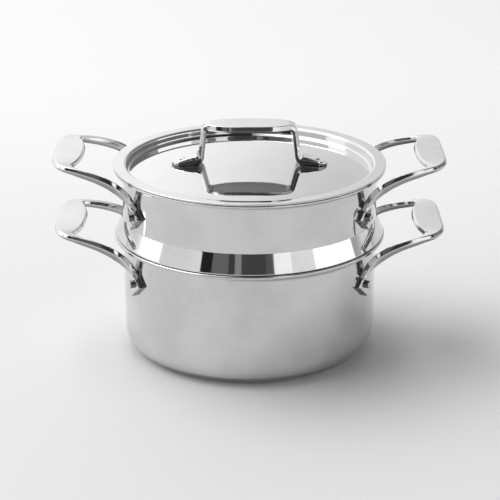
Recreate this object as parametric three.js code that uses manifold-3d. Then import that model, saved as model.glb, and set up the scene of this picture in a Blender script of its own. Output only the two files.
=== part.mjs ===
// Stainless steamer pot: a pot, a pierced steamer insert that nests in it, and a lid.
// Millimetres, +Z up. The origin is the middle of the pot's underside, and the handles lie along X.

import * as THREE from 'three';
import { mergeVertices } from 'three/addons/utils/BufferGeometryUtils.js';
import loadManifold from 'manifold-3d';

const wasm = await loadManifold();
wasm.setup();

// Fits
const seatGap = 0.3;
const rivetHoleGap = 0.25;

// Pot
const potInnerDiameter = 203;
const potSheet = 2.6;
const potHeight = 98;
const potCornerRadius = 17;
const lipReach = 7;
const lipBend = 5.4;

// Steamer insert
const insertSheet = 1.5;
const insertRise = 57;
const skirtHeight = 16;
const skirtReach = 6;
const skirtEdgeRadius = 0.9;
const ledgeFillet = 2;
const drumClearance = 3;
const drumDepth = 26;
const drumCornerRadius = 8;
const holeDiameter = 6.5;
const holeRingPitch = 19;
const holesPerRingStep = 6;

// Lid
const lidSheet = 1.5;
const lidWallClearance = 1;
const lidRecess = 7.7;
const lidDomeRise = 6.8;
const lidRecessFillet = 2;
const lidFlangeBend = 1;

// Loop handles of the pot and the insert
const tabReach = 54.3;
const tabDepth = 24.2;
const tabTopAboveRim = 12.2;
const tabTilt = 1.8;
const tabInnerBow = 6;
const armHalfSpread = 45;
const armWidth = 6;
const handleThickness = 5;
const setBackLimit = 0.4;
const armStartBack = 14.8;
const armStartFall = 3.2;
const armShoulderShare = 0.45;
const armShoulderFall = 4;
const armElbowStandOff = 2.3;
const armElbowRise = 16.8;
const armLandingRise = 7.9;
const footDropBelowRim = 28.9;
const footArc = 53;

// Half of a tab, from its middle to the arm. The outer edge is given by its distance back from the full
// reach, its share of the arms' spread and its fall. The inner edge is given by its share of the inner bow,
// its share of the spread inside the arms and its fall.
const tabShape = [
  { outerBack: 0, outerShare: 0, outerFall: 0, bowShare: 0, innerShare: 0, innerFall: 0 },
  { outerBack: 0.1, outerShare: 0.4, outerFall: 0, bowShare: 0.13, innerShare: 0.41, innerFall: 0 },
  { outerBack: 0.7, outerShare: 0.644, outerFall: 0, bowShare: 0.4, innerShare: 0.654, innerFall: 0 },
  { outerBack: 3.4, outerShare: 0.844, outerFall: 0, bowShare: 0.77, innerShare: 0.846, innerFall: 0.1 },
  { outerBack: 9.5, outerShare: 0.996, outerFall: 1.1, bowShare: 1, innerShare: 0.96, innerFall: 0.4 },
];

// An arm, from the tab to the wall: the place on its curve of descent, the distance of its outer edge along
// the wall from the rivet, and its shares of the arm's width and of the handle's thickness at both edges.
const armShape = [
  { at: 0, fromRivet: -16.8, widthShare: 0.95, thickShare: 1.12, innerThickShare: 1.1 },
  { at: 0.25, fromRivet: -9, widthShare: 0.92, thickShare: 1.38, innerThickShare: 1.35 },
  { at: 0.5, fromRivet: -2.6, widthShare: 0.92, thickShare: 1.58, innerThickShare: 1.5 },
  { at: 0.75, fromRivet: 0.2, widthShare: 1.05, thickShare: 1.5, innerThickShare: 1.35 },
  { at: 0.9, fromRivet: 2.1, widthShare: 1.3, thickShare: 1.15, innerThickShare: 0.95 },
  { at: 1, fromRivet: 4.6, widthShare: 1.9, thickShare: 0.9, innerThickShare: 0.7 },
];

// A foot, from its shoulder to its tip: how far each edge lies along the wall from the rivet and below it,
// and the shares of the handle's thickness at the two edges.
const footShape = [
  { outer: 8.2, outerFall: -3.4, inner: -7.6, innerFall: -3, thickShare: 0.82, innerThickShare: 0.62 },
  { outer: 12.2, outerFall: -0.5, inner: -8.4, innerFall: 0.6, thickShare: 0.82, innerThickShare: 0.6 },
  { outer: 11.2, outerFall: 0.8, inner: -8.8, innerFall: 2.6, thickShare: 0.82, innerThickShare: 0.6 },
  { outer: 5.6, outerFall: 5.3, inner: -8.4, innerFall: 6.6, thickShare: 0.82, innerThickShare: 0.6 },
  { outer: -0.1, outerFall: 10, inner: -6, innerFall: 10.3, thickShare: 0.8, innerThickShare: 0.62 },
];

// Sections of the strap: its sides rise to a ridge, so the upper and the lower face are set back from it. The
// ridge is at a share of the thickness.
const tabSection = { upperBack: 1.5, lowerBack: 1.8, ridgeShare: 0.5 };
const armSection = { upperBack: 0.85, lowerBack: 1.6, ridgeShare: 0.46 };
const footSection = { upperBack: 0.2, lowerBack: 0.45, ridgeShare: 0.3 };

// Rivets of the loop handles
const rivetShankRadius = 2.4;
const rivetHeadRadius = 3.1;
const rivetHeadHeight = 2.8;
const rivetCrown = 0.5;
const rivetInnerHeadRadius = 5;
const rivetInnerHeadHeight = 1.4;
const rivetInnerHeadFlat = 3;
const rivetInnerHeadEdge = 0.56;
const rivetSeatDepth = 3.2;
const rivetInnerHeadGap = 0.6;

// Strap handle of the lid
const strapRise = 32;
const strapHalfLength = 39.6;
const strapSplay = 2.4;
const strapThickness = 4.8;
const strapHalfWidth = 13.9;
const strapEndHalfWidth = 7.4;
const strapCornerRadius = 8;
const strapInnerBend = 3.2;
const strapHeelBend = 4.8;
const strapFootHalfLength = 63;
const strapFootHalfWidth = 7.4;
const strapFootHeel = 6.5;
const strapFootTip = 2.4;
const lidRivetFromTip = 9.3;
const lidRivetSeat = 3.5;
const lidRivetHeadHeight = 1.5;

// The strap in plan: its foot, by the distance in from the tip and the share of the foot's width, then its
// bar, by the share of the half length and of the swelling from the ends to the middle
const strapFootPlan = [
  { inFromTip: 1, widthShare: 0.6 },
  { inFromTip: 4, widthShare: 0.93 },
  { inFromTip: 9, widthShare: 1 },
];
const strapBarPlan = [
  { reachShare: 0.86, swell: 0.08 },
  { reachShare: 0.68, swell: 0.52 },
  { reachShare: 0.47, swell: 0.89 },
  { reachShare: 0, swell: 1 },
];

// Finishes
const potColor = 0xd2d4d6;
const insertColor = 0xd4d6d8;
const lidColor = 0xd8dadc;
const handleColor = 0xd6d8da;
const rivetColor = 0xc9cbcd;
const polishRoughness = 0.08;

// Smoothness
const roundSegments = 40;
const rivetSegments = 10;
const holeSegments = 8;
const cornerSteps = 4;
const bendSteps = 3;
const filletSteps = 2;
const footSteps = 4;
const strapSideSteps = 4;
const strapPlanSteps = 2;
const handleSections = 40;

// Levels and radii that follow from the sizes above
const potOuterRadius = potInnerDiameter / 2 + potSheet;
const lipRadius = potOuterRadius + lipReach;
const insertInnerRadius = potOuterRadius - insertSheet;
const insertRim = potHeight + insertRise;
const flangeUnder = insertRim + seatGap;
const lidCrown = flangeUnder + lidSheet;
const footAngle = footArc / potOuterRadius;

const halfTurn = Math.PI;
const quarterTurn = Math.PI / 2;
const { lerp } = THREE.MathUtils;

// Joining and cutting
function toSolid(geometry) {
  const bare = geometry.clone();
  bare.deleteAttribute('normal');
  bare.deleteAttribute('uv');
  const merged = mergeVertices(bare);
  const corners = merged.index.array;
  const kept = [];
  for (let i = 0; i < corners.length; i += 3) {
    const [a, b, c] = corners.slice(i, i + 3);
    if (a !== b && b !== c && c !== a) kept.push(a, b, c);
  }
  return new wasm.Manifold(new wasm.Mesh({
    numProp: 3,
    vertProperties: merged.attributes.position.array,
    triVerts: new Uint32Array(kept),
  }));
}

function toGeometry(solid) {
  const mesh = solid.getMesh();
  const geometry = new THREE.BufferGeometry();
  geometry.setAttribute('position', new THREE.BufferAttribute(mesh.vertProperties, 3));
  geometry.setIndex(new THREE.BufferAttribute(mesh.triVerts, 1));
  geometry.computeVertexNormals();
  return geometry;
}

function cut(geometry, cutters) {
  let solid = toSolid(geometry);
  for (const cutter of cutters) solid = solid.subtract(toSolid(cutter));
  return toGeometry(solid);
}

// Revolves an outline drawn as radius and height, anticlockwise, about the vertical axis.
function revolve(outline, segments = roundSegments) {
  return new THREE.LatheGeometry(outline, segments).rotateX(quarterTurn);
}

// A round cutter along +X, from one distance to another.
function radialCutter(radius, from, to) {
  const geometry = new THREE.CylinderGeometry(radius, radius, to - from, rivetSegments);
  return geometry.rotateZ(quarterTurn).translate((from + to) / 2, 0, 0);
}

// A skin through rings of equally many points, closed by a flat fan at each end.
function loft(rings) {
  const count = rings[0].length;
  const positions = [];
  const indices = [];
  for (const ring of rings) {
    for (const point of ring) positions.push(point.x, point.y, point.z);
  }
  for (let i = 0; i + 1 < rings.length; i++) {
    for (let j = 0; j < count; j++) {
      const a = i * count + j;
      const b = i * count + (j + 1) % count;
      indices.push(a, a + count, b, b, a + count, b + count);
    }
  }
  const last = (rings.length - 1) * count;
  for (let j = 1; j + 1 < count; j++) {
    indices.push(0, j, j + 1);
    indices.push(last, last + j + 1, last + j);
  }
  const geometry = new THREE.BufferGeometry();
  geometry.setAttribute('position', new THREE.Float32BufferAttribute(positions, 3));
  geometry.setIndex(indices);
  geometry.computeVertexNormals();
  return geometry;
}

// Outlines are lists of points, as radius and height. A round stretch is an arc of a few straight steps.
const point = (radius, height) => new THREE.Vector2(radius, height);

function arc(centreRadius, centreHeight, radius, from, to, steps) {
  const points = [];
  for (let i = 0; i <= steps; i++) {
    const angle = lerp(from, to, i / steps);
    points.push(point(centreRadius + radius * Math.cos(angle), centreHeight + radius * Math.sin(angle)));
  }
  return points;
}

function potOutline() {
  const bendLevel = potHeight - potSheet - lipBend;
  const bendRadius = potOuterRadius + lipBend;
  const corner = potOuterRadius - potCornerRadius;
  return [
    point(0, 0),
    ...arc(corner, potCornerRadius, potCornerRadius, -quarterTurn, 0, cornerSteps),
    ...arc(bendRadius, bendLevel, lipBend, halfTurn, quarterTurn, bendSteps),
    point(lipRadius, potHeight - potSheet),
    point(lipRadius, potHeight),
    ...arc(bendRadius, bendLevel, lipBend + potSheet, quarterTurn, halfTurn, bendSteps),
    ...arc(corner, potCornerRadius, potCornerRadius - potSheet, 0, -quarterTurn, cornerSteps),
    point(0, potSheet),
  ];
}

// The wall flares out to a seating skirt, folds under to a ledge that rests on the pot's lip, and goes down
// into the pot as a narrower drum with a flat base.
function insertOutline() {
  const drum = potInnerDiameter / 2 - drumClearance;
  const drumCorner = drum - drumCornerRadius;
  const ledge = potHeight + seatGap;
  const base = potHeight - drumDepth;
  const skirt = potOuterRadius + skirtReach;
  const skirtEdge = ledge + skirtEdgeRadius;
  const crease = ledge + skirtHeight;
  const coneAngle = Math.atan2(skirtReach, skirtHeight - skirtEdgeRadius);
  const foldLevel = ledge + insertSheet + skirtEdgeRadius;
  const foldOuter = skirt - (foldLevel - skirtEdge) * Math.tan(coneAngle);
  const fold = foldOuter - insertSheet / Math.cos(coneAngle);
  const bendLevel = insertRim - insertSheet - lipBend;
  const bendRadius = potOuterRadius + lipBend;
  const filletRadius = drum + ledgeFillet;
  const filletLevel = ledge - ledgeFillet;
  return [
    point(0, base),
    ...arc(drumCorner, base + drumCornerRadius, drumCornerRadius, -quarterTurn, 0, bendSteps),
    ...arc(filletRadius, filletLevel, ledgeFillet, halfTurn, quarterTurn, filletSteps),
    ...arc(skirt - skirtEdgeRadius, skirtEdge, skirtEdgeRadius, -quarterTurn, 0, filletSteps),
    point(potOuterRadius, crease),
    ...arc(bendRadius, bendLevel, lipBend, halfTurn, quarterTurn, bendSteps),
    point(lipRadius, insertRim - insertSheet),
    point(lipRadius, insertRim),
    ...arc(bendRadius, bendLevel, lipBend + insertSheet, quarterTurn, halfTurn, bendSteps),
    point(insertInnerRadius, crease - insertSheet * Math.tan(coneAngle / 2)),
    point(fold, foldLevel),
    point(fold - skirtEdgeRadius, ledge + insertSheet),
    ...arc(filletRadius, filletLevel, ledgeFillet + insertSheet, quarterTurn, halfTurn, filletSteps),
    ...arc(drumCorner, base + drumCornerRadius, drumCornerRadius - insertSheet, 0, -quarterTurn, bendSteps),
    point(0, base + insertSheet),
  ];
}

// The lid's panel is a shallow sphere cap that a fillet turns up into the locating wall.
const lidWallInner = insertInnerRadius - lidWallClearance - lidSheet;
const lidDomeRadius = (lidWallInner ** 2 + lidDomeRise ** 2) / (2 * lidDomeRise);
const lidDomeCentre = lidCrown - lidRecess + lidDomeRise - lidDomeRadius;
const lidPanelTop = (reach) => lidDomeCentre + Math.sqrt(lidDomeRadius ** 2 - reach ** 2);

function lidOutline() {
  const fillet = lidWallInner - lidRecessFillet;
  const filletLevel = lidDomeCentre + Math.sqrt((lidDomeRadius + lidRecessFillet) ** 2 - fillet ** 2);
  const domeEdge = Math.atan2(filletLevel - lidDomeCentre, fillet);
  const bendRadius = lidWallInner + lidSheet + lidFlangeBend;
  const bendLevel = flangeUnder - lidFlangeBend;
  return [
    ...arc(0, lidDomeCentre, lidDomeRadius - lidSheet, quarterTurn, domeEdge, cornerSteps),
    ...arc(fillet, filletLevel, lidRecessFillet + lidSheet, domeEdge - halfTurn, 0, filletSteps),
    ...arc(bendRadius, bendLevel, lidFlangeBend, halfTurn, quarterTurn, filletSteps),
    point(lipRadius, flangeUnder),
    point(lipRadius, lidCrown),
    ...arc(bendRadius, bendLevel, lidFlangeBend + lidSheet, quarterTurn, halfTurn, filletSteps),
    ...arc(fillet, filletLevel, lidRecessFillet, 0, domeEdge - halfTurn, filletSteps),
    ...arc(0, lidDomeCentre, lidDomeRadius, domeEdge, quarterTurn, cornerSteps),
  ];
}

// The round holes of the insert's base: one in the middle, and as many rings as the flat holds
function baseHoleCutters() {
  const cutters = [];
  const radius = holeDiameter / 2;
  const flat = potInnerDiameter / 2 - drumClearance - drumCornerRadius;
  const rings = Math.floor((flat - holeDiameter) / holeRingPitch);
  const middle = potHeight - drumDepth + insertSheet / 2;
  for (let ring = 0; ring <= rings; ring++) {
    const count = Math.max(1, ring * holesPerRingStep);
    const reach = ring * holeRingPitch;
    for (let i = 0; i < count; i++) {
      const angle = (i / count) * 2 * halfTurn;
      const hole = new THREE.CylinderGeometry(radius, radius, 3 * insertSheet, holeSegments);
      hole.rotateX(quarterTurn).translate(reach * Math.cos(angle), reach * Math.sin(angle), middle);
      cutters.push(hole);
    }
  }
  return cutters;
}

// Holes through a wall for the rivets of its two loop handles
function wallRivetCutters(rim, wallInner) {
  const cutters = [];
  const radius = rivetShankRadius + rivetHoleGap;
  for (const side of [0, halfTurn]) {
    for (const end of [-footAngle, footAngle]) {
      const hole = radialCutter(radius, wallInner - potSheet, potOuterRadius + potSheet);
      cutters.push(hole.rotateZ(side + end).translate(0, 0, rim - footDropBelowRim));
    }
  }
  return cutters;
}

// A loop handle is a strap between an outer and an inner edge, drawn on its upper side from the middle of
// the tab to the tip of one foot. The upper side of the tab becomes the side of the foot on the wall. Heights
// are from the rim, and along is the distance along the wall from the handle's middle.
const inPlan = (out, across, up) => new THREE.Vector3(potOuterRadius + out, across, up);

function onWall(standOff, along, up) {
  const radius = potOuterRadius + seatGap + standOff;
  const angle = along / potOuterRadius;
  return new THREE.Vector3(radius * Math.cos(angle), radius * Math.sin(angle), up);
}

// Half of the tab, with its rounded outer corner and the notch where its inner edge meets the arm
function tabStations() {
  const innerReach = tabReach - tabDepth;
  const innerSpread = armHalfSpread - armWidth;
  const innerTop = tabTopAboveRim - tabTilt;
  return tabShape.map(({ outerBack, outerShare, outerFall, bowShare, innerShare, innerFall }) => ({
    outer: inPlan(tabReach - outerBack, armHalfSpread * outerShare, tabTopAboveRim - outerFall),
    inner: inPlan(innerReach + tabInnerBow * bowShare, innerSpread * innerShare, innerTop - innerFall),
    thick: [handleThickness, handleThickness],
    section: tabSection,
  }));
}

// The arm's upper side comes down to the wall on one curve of stand-off and height.
function armStations() {
  const start = new THREE.Vector2(tabReach - armStartBack, tabTopAboveRim - armStartFall);
  const landing = new THREE.Vector2(0, armLandingRise - footDropBelowRim);
  const shoulder = new THREE.Vector2(start.x * armShoulderShare, start.y - armShoulderFall);
  const elbow = new THREE.Vector2(armElbowStandOff, landing.y + armElbowRise);
  const descent = new THREE.CubicBezierCurve(start, shoulder, elbow, landing);
  return armShape.map(({ at, fromRivet, widthShare, thickShare, innerThickShare }) => {
    const { x: standOff, y: up } = descent.getPoint(at);
    const along = footArc + fromRivet;
    return {
      outer: onWall(standOff, along, up),
      inner: onWall(standOff, along - armWidth * widthShare, up),
      thick: [handleThickness * thickShare, handleThickness * innerThickShare],
      section: armSection,
    };
  });
}

// The foot is a tongue on the wall that runs down to a corner and in past the rivet to its tip.
function footStations() {
  return footShape.map(({ outer, outerFall, inner, innerFall, thickShare, innerThickShare }) => ({
    outer: onWall(0, footArc + outer, -footDropBelowRim - outerFall),
    inner: onWall(0, footArc + inner, -footDropBelowRim - innerFall),
    thick: [handleThickness * thickShare, handleThickness * innerThickShare],
    section: footSection,
  }));
}

// One ring of the strap: across from the outer to the inner edge, and down from the upper side.
function strapRing(outer, inner, thick, section, down) {
  const ring = [];
  const place = (across, depth) => {
    const radius = lerp(Math.hypot(outer.x, outer.y), Math.hypot(inner.x, inner.y), across);
    const angle = lerp(Math.atan2(outer.y, outer.x), Math.atan2(inner.y, inner.x), across);
    const height = lerp(outer.z, inner.z, across);
    const corner = new THREE.Vector3(radius * Math.cos(angle), radius * Math.sin(angle), height);
    ring.push(corner.addScaledVector(down, depth * lerp(thick.x, thick.y, across)));
  };
  const width = outer.distanceTo(inner);
  const [upper, lower] = [section.x, section.y].map((back) => Math.min(back / width, setBackLimit));
  const ridge = section.z;
  for (const across of [upper, 0.5, 1 - upper]) place(across, 0);
  place(1, ridge);
  for (const across of [1 - lower, 0.5, lower]) place(across, 1);
  place(0, ridge);
  return ring;
}

function loopHandle() {
  const half = [...tabStations(), ...armStations(), ...footStations()];
  const mirrored = half.slice(1).reverse().map(({ outer, inner, thick, section }) => ({
    outer: new THREE.Vector3(outer.x, -outer.y, outer.z),
    inner: new THREE.Vector3(inner.x, -inner.y, inner.z),
    thick,
    section,
  }));
  const stations = [...mirrored, ...half];
  const outerEdge = new THREE.CatmullRomCurve3(stations.map((station) => station.outer));
  const innerEdge = new THREE.CatmullRomCurve3(stations.map((station) => station.inner));
  const thickness = new THREE.CatmullRomCurve3(stations.map(({ thick }) => new THREE.Vector3(...thick, 0)));
  const sections = new THREE.CatmullRomCurve3(stations.map(({ section }) => new THREE.Vector3(
    section.upperBack,
    section.lowerBack,
    section.ridgeShare,
  )));
  const rings = [];
  for (let i = 0; i <= handleSections; i++) {
    const at = i / handleSections;
    const outer = outerEdge.getPoint(at);
    const inner = innerEdge.getPoint(at);
    const along = outerEdge.getTangent(at).add(innerEdge.getTangent(at));
    const across = inner.clone().sub(outer);
    const down = across.cross(along).normalize();
    const thick = thickness.getPoint(at);
    rings.push(strapRing(outer, inner, thick, sections.getPoint(at), down));
  }
  const seat = potOuterRadius + seatGap + rivetSeatDepth;
  const cutters = [-footAngle, footAngle].flatMap((angle) => [
    radialCutter(rivetShankRadius + rivetHoleGap, potOuterRadius - handleThickness, seat + handleThickness),
    radialCutter(rivetHeadRadius + seatGap, seat, seat + 2 * handleThickness),
  ].map((cutter) => cutter.rotateZ(angle).translate(0, 0, -footDropBelowRim)));
  return cut(loft(rings), cutters);
}

// A rivet along +Z, measured from the centre that its wall curves about: flat head, shank and round head with
// a low crown.
function rivet(gripStart, gripEnd, headHeight) {
  const flatFace = gripStart - rivetInnerHeadHeight;
  const crownRadius = (rivetHeadRadius ** 2 + rivetCrown ** 2) / (2 * rivetCrown);
  const crownCentre = gripEnd + headHeight - crownRadius;
  const crownEdge = Math.acos(rivetHeadRadius / crownRadius);
  return revolve([
    point(0, flatFace),
    point(rivetInnerHeadFlat, flatFace),
    point(rivetInnerHeadRadius, gripStart - rivetInnerHeadEdge),
    point(rivetInnerHeadRadius, gripStart),
    point(rivetShankRadius, gripStart),
    point(rivetShankRadius, gripEnd),
    point(rivetHeadRadius, gripEnd),
    ...arc(0, crownCentre, crownRadius, crownEdge, quarterTurn, filletSteps),
  ], rivetSegments);
}

// The side of the lid's strap, as reach and height: a bar on two splayed legs, with feet that fit the panel
function strapSide() {
  const top = lidCrown + strapRise;
  const splayed = strapHalfLength + strapSplay;
  const heel = lidPanelTop(splayed) + strapFootHeel;
  const tip = lidPanelTop(strapFootHalfLength) + seatGap;
  const shoulder = top - strapCornerRadius;
  const corner = strapHalfLength - strapCornerRadius;
  const under = top - strapThickness - strapInnerBend;
  const inside = strapHalfLength - strapThickness - strapInnerBend;
  const heelTop = heel + strapHeelBend;
  const heelLean = strapSplay * strapHeelBend / (shoulder - heel);
  const footBottom = [];
  for (let i = 0; i <= footSteps; i++) {
    const reach = lerp(splayed - strapThickness, strapFootHalfLength, i / footSteps);
    footBottom.push(point(reach, lidPanelTop(reach) + seatGap));
  }
  const side = new THREE.Shape();
  side.moveTo(strapFootHalfLength, tip);
  side.lineTo(strapFootHalfLength, tip + strapFootTip);
  side.lineTo(splayed + strapHeelBend, heel);
  side.quadraticCurveTo(splayed, heel, splayed - heelLean, heelTop);
  side.lineTo(strapHalfLength, shoulder);
  side.absarc(corner, shoulder, strapCornerRadius, 0, quarterTurn);
  side.absarc(-corner, shoulder, strapCornerRadius, quarterTurn, halfTurn);
  side.lineTo(heelLean - splayed, heelTop);
  side.quadraticCurveTo(-splayed, heel, -splayed - strapHeelBend, heel);
  side.lineTo(-strapFootHalfLength, tip + strapFootTip);
  for (const { x, y } of footBottom.toReversed()) side.lineTo(-x, y);
  side.absarc(-inside, under, strapInnerBend, halfTurn, quarterTurn, true);
  side.absarc(inside, under, strapInnerBend, quarterTurn, 0, true);
  for (const { x, y } of footBottom) side.lineTo(x, y);
  return side;
}

// The plan of the lid's strap: round tongues for feet, narrow legs and a bar that swells to the middle
function strapPlan() {
  const splayed = strapHalfLength + strapSplay;
  const right = [
    ...strapFootPlan.map((at) => point(
      strapFootHalfLength - at.inFromTip,
      strapFootHalfWidth * at.widthShare,
    )),
    point(splayed, strapEndHalfWidth),
    ...strapBarPlan.map((at) => point(
      strapHalfLength * at.reachShare,
      lerp(strapEndHalfWidth, strapHalfWidth, at.swell),
    )),
  ];
  const left = right.slice(0, -1).reverse().map(({ x, y }) => point(-x, y));
  const back = [...right, ...left];
  const front = back.toReversed().map(({ x, y }) => point(x, -y));
  const plan = new THREE.Shape();
  plan.moveTo(strapFootHalfLength, 0);
  plan.splineThru([...back, point(-strapFootHalfLength, 0)]);
  plan.splineThru([...front, point(strapFootHalfLength, 0)]);
  return plan;
}

// The strap handle of the lid is its side swept across and its plan swept up, kept where they meet.
function lidHandle() {
  const depth = 4 * strapHalfWidth;
  const across = new THREE.ExtrudeGeometry(strapSide(), {
    depth,
    bevelEnabled: false,
    curveSegments: strapSideSteps,
  });
  across.rotateX(quarterTurn).translate(0, depth / 2, 0);
  const upward = new THREE.ExtrudeGeometry(strapPlan(), {
    depth: 3 * strapRise,
    bevelEnabled: false,
    curveSegments: strapPlanSteps,
  });
  upward.translate(0, 0, lidCrown - strapRise);
  const strap = toGeometry(toSolid(across).intersect(toSolid(upward)));
  return cut(strap, lidRivetCutters(true));
}

// Holes along the lid's two rivets, and the spot faces that their heads sit on
const lidRivetTilt = Math.asin((strapFootHalfLength - lidRivetFromTip) / lidDomeRadius);

function lidRivetCutters(spotFaced) {
  const seat = lidDomeRadius + seatGap + lidRivetSeat;
  const shank = rivetShankRadius + rivetHoleGap;
  return [-lidRivetTilt, lidRivetTilt].flatMap((tilt) => {
    const cutters = [radialCutter(shank, lidDomeRadius - 3 * lidSheet, seat + strapFootHeel)];
    if (spotFaced) cutters.push(radialCutter(rivetHeadRadius + seatGap, seat, seat + 2 * strapFootHeel));
    return cutters.map((cutter) => cutter.rotateY(tilt - quarterTurn).translate(0, 0, lidDomeCentre));
  });
}

function piece(name, geometry, color) {
  const polished = new THREE.MeshStandardMaterial({ color, roughness: polishRoughness, metalness: 1 });
  const mesh = new THREE.Mesh(geometry, polished);
  mesh.name = name;
  return mesh;
}

// Two loop handles and their four rivets, at the height of a rim
function handlePair(prefix, rim, wallInner) {
  const group = new THREE.Group();
  group.position.z = rim;
  const geometry = loopHandle();
  const grip = [wallInner - rivetInnerHeadGap, potOuterRadius + 2 * seatGap + rivetSeatDepth];
  const sides = [['right', 0], ['left', halfTurn]];
  for (const [side, turn] of sides) {
    const handle = piece(`${prefix}_handle_${side}`, geometry, handleColor);
    handle.rotation.z = turn;
    group.add(handle);
    for (const angle of [-footAngle, footAngle]) {
      const end = Math.sin(turn + angle) < 0 ? 'front' : 'back';
      const pivot = new THREE.Group();
      pivot.rotation.z = turn + angle;
      pivot.position.z = -footDropBelowRim;
      const shape = rivet(...grip, rivetHeadHeight);
      const fastener = piece(`${prefix}_rivet_${side}_${end}`, shape, rivetColor);
      fastener.rotation.y = quarterTurn;
      pivot.add(fastener);
      group.add(pivot);
    }
  }
  return group;
}

function potAssembly() {
  const group = new THREE.Group();
  const wallInner = potInnerDiameter / 2;
  const shell = cut(revolve(potOutline()), wallRivetCutters(potHeight, wallInner));
  group.add(piece('pot_body', shell, potColor));
  group.add(handlePair('pot', potHeight, wallInner));
  return group;
}

function insertAssembly() {
  const group = new THREE.Group();
  const cutters = [...wallRivetCutters(insertRim, insertInnerRadius), ...baseHoleCutters()];
  group.add(piece('insert_body', cut(revolve(insertOutline()), cutters), insertColor));
  group.add(handlePair('insert', insertRim, insertInnerRadius));
  return group;
}

function lidAssembly() {
  const group = new THREE.Group();
  const panel = cut(revolve(lidOutline()), lidRivetCutters(false));
  group.add(piece('lid_panel', panel, lidColor));
  group.add(piece('lid_handle', lidHandle(), handleColor));
  const grip = [lidDomeRadius - lidSheet - seatGap, lidDomeRadius + 2 * seatGap + lidRivetSeat];
  for (const [side, tilt] of [['left', -lidRivetTilt], ['right', lidRivetTilt]]) {
    const fastener = piece(`lid_rivet_${side}`, rivet(...grip, lidRivetHeadHeight), rivetColor);
    fastener.rotation.y = tilt;
    fastener.position.z = lidDomeCentre;
    group.add(fastener);
  }
  return group;
}

const steamerPot = new THREE.Group();
steamerPot.add(potAssembly(), insertAssembly(), lidAssembly());

export default steamerPot;
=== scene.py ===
# Steamer pot: a polished pot, a pierced insert and a sunken lid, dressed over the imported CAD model.
import math
import bpy
import bmesh
import numpy as np
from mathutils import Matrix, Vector
from mathutils.geometry import delaunay_2d_cdt


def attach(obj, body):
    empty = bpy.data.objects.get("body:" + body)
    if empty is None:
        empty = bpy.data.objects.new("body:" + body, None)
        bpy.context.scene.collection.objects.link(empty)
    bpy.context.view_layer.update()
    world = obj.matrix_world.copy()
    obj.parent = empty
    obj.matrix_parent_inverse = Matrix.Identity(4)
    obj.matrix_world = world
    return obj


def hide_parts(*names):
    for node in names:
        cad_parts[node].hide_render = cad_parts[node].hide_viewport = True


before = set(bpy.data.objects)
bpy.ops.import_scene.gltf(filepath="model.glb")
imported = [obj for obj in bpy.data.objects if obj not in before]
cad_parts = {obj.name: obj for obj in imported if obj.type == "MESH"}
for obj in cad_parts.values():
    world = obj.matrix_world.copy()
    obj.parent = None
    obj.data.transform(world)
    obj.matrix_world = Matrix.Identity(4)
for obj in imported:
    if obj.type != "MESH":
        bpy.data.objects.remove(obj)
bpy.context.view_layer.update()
scene = bpy.context.scene
scene.view_settings.view_transform = "Standard"
mm = 0.001
up = np.array([0.0, 0.0, 1.0])

# Sizes are in millimetres, and putMesh brings them to metres.
shell = {
    "wallRadius": 104.1,  # outside of the pot's and the insert's straight walls
    "lipRadius": 111.1,
    "lipBend": 5.4,
    "lipEdge": 0.35,  # rounding of a cut rim
    "seatGap": 0.3,
    "segments": 256,  # points round a turned shell
    "filletSteps": 10,
    "longest": 2.5,  # longest step along a straight stretch
    "hold": 0.3,  # step beside a fillet, which keeps the flat next to it flat
    "satinAndShadeMargin": 0.3,  # how far past a wall its satin finish and painted shade go
    "samePoint": 1e-4,  # points of an outline this close are one
    "sameMark": 0.02,  # and so are marks along it
    "weld": 1e-7,  # metres
    "sharpAngle": 40,  # degrees, from which an edge is shaded sharp
}


def unit(vectors):
    return vectors / np.linalg.norm(vectors, axis=-1, keepdims=True)


def gridQuads(rows, columns):
    # four corners of each cell of a grid of points, whose last column closes on its first
    i, j = np.meshgrid(np.arange(rows - 1), np.arange(columns), indexing="ij")
    i, j = i.ravel(), j.ravel()
    k = (j + 1) % columns
    return np.column_stack([i * columns + j, (i + 1) * columns + j, (i + 1) * columns + k, i * columns + k])


def closedGrid(points, columns, tips):
    # rows of points that close on themselves, with triangles from the first and the last row to a tip each
    first = np.arange(columns)
    caps = []
    for i, ring in enumerate((first[::-1], len(points) - columns + first)):
        caps.append(np.column_stack([ring, np.roll(ring, -1), np.full(columns, len(points) + i)]))
    return np.vstack([points, tips]), gridQuads(len(points) // columns, columns), np.vstack(caps)


def turnedOut(points, quads, triangles):
    # faces of a closed shape point outwards where the sum of a.(b x c) over its triangles is positive
    halves = np.concatenate([quads[:, [0, 1, 2]], quads[:, [0, 2, 3]], triangles])
    a, b, c = points[halves[:, 0]], points[halves[:, 1]], points[halves[:, 2]]
    if np.einsum("ij,ij->", a, np.cross(b, c)) < 0:
        return quads[:, ::-1], triangles[:, ::-1]
    return quads, triangles


def linked(name, data):
    made = bpy.data.objects.new(name, data)
    scene.collection.objects.link(made)
    return made


def putMesh(name, points, quads, triangles, satinAndShade):
    quads, triangles = turnedOut(points, quads, triangles)
    mesh = bpy.data.meshes.new(name)
    mesh.from_pydata((points * mm).tolist(), [], quads.tolist() + triangles.tolist())
    # the attribute marks satin finish and painted shade: these points get rougher steel and a darker colour
    # painted as shade
    share = mesh.attributes.new("satinAndShade", "FLOAT", "POINT")
    share.data.foreach_set("value", satinAndShade.astype(np.float32))
    merged = bmesh.new()
    merged.from_mesh(mesh)
    bmesh.ops.remove_doubles(merged, verts=merged.verts, dist=shell["weld"])
    merged.to_mesh(mesh)
    merged.free()
    mesh.shade_smooth()
    mesh.set_sharp_from_angle(angle=math.radians(shell["sharpAngle"]))
    return linked(name, mesh)


def dress(piece, finish, body, node):
    piece.data.materials.append(finish)
    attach(piece, body)
    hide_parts(node)


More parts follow.
